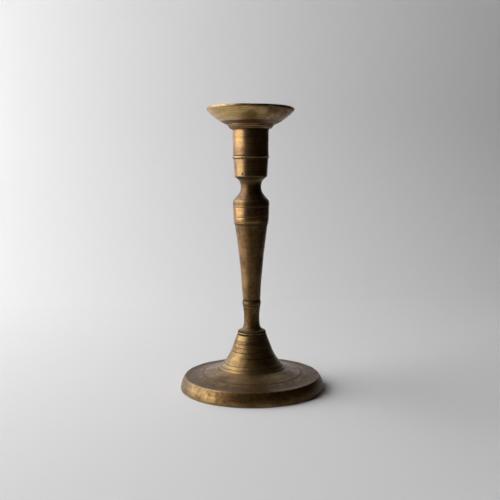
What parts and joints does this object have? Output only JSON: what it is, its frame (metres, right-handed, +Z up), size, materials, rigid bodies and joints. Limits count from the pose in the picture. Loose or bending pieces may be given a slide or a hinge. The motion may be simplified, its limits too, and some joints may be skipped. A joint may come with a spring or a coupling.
{
  "type": "candlestick",
  "caption": "Turned brass candlestick with a tapered stem, bell-shaped round base, candle socket and a drip pan that lifts out.",
  "frame": {"origin": "middle of the base's lower face, on the table", "axes": "+Z up the stem's axis; the socket's locking pin faces -X and -Y, and the sleeve's slit faces +X"},
  "size_m": [0.1094, 0.1094, 0.2117],
  "materials": {
    "aged_brass": "satin, brown patina",
    "dark_brass": "satin, dark patina",
    "rubbed_brass": "rubbed satin",
    "iron": "dull, lightly rusted"
  },
  "bodies": {
    "stick": {"base": "aged_brass", "seat_ring": "dark_brass", "stem_foot": "aged_brass", "stem_shaft": "dark_brass", "neck_knop": "aged_brass", "candle_socket": "rubbed_brass", "socket_pin": "iron", "tie_rod": "iron", "base_washer": "iron", "base_nut": "iron"},
    "pan": {"drip_pan": "aged_brass", "pan_sleeve": "rubbed_brass"}
  },
  "joints": [
    {"name": "pan_lift", "type": "slide", "parent": "stick", "child": "pan", "axis": [0, 0, 1], "range_m": [0, 0.03]}
  ]
}
